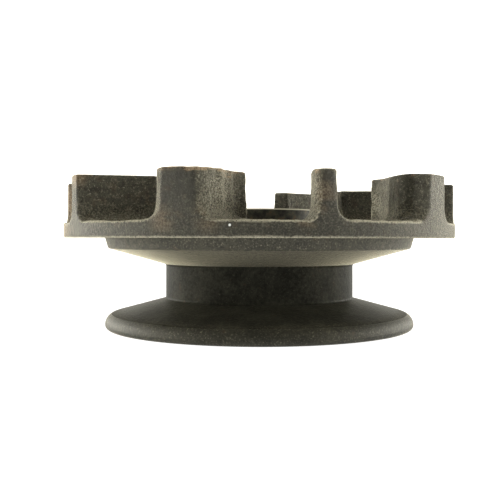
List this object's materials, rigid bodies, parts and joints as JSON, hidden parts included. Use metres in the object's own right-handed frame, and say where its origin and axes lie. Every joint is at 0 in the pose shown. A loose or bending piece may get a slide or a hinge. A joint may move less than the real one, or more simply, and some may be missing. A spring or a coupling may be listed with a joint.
{
  "type": "small engine flywheel",
  "caption": "Cast-iron fan flywheel with swept upright vanes, a bolted rope-start sheave and a keyed steel hub, old and lightly rusted.",
  "frame": {"origin": "on the shaft axis, in the plane of the sheave's lower rim, on which the part stands", "axes": "+Z along the shaft axis from the rope sheave to the fan side; -Y is the side seen in the picture, opposite the rope knot notch"},
  "size_m": [0.1524, 0.1524, 0.057],
  "materials": {
    "fan_iron": "sand-cast, dark olive grey, rust on the vane tops, turned outside",
    "sheave_iron": "turned, oil-darkened, dusty in the groove",
    "hub_steel": "turned, stained dark",
    "screw_steel": "black oxide, worn",
    "washer_steel": "plain, stained",
    "dowel_steel": "ground"
  },
  "bodies": {
    "root": {"fan_flywheel": "fan_iron", "rope_sheave": "sheave_iron", "hub": "hub_steel", "sheave_screw_1": "screw_steel", "sheave_screw_2": "screw_steel", "sheave_screw_3": "screw_steel", "sheave_screw_4": "screw_steel", "lock_washer_1": "washer_steel", "lock_washer_2": "washer_steel", "lock_washer_3": "washer_steel", "lock_washer_4": "washer_steel", "drive_dowel_1": "dowel_steel", "drive_dowel_2": "dowel_steel"}
  },
  "joints": []
}
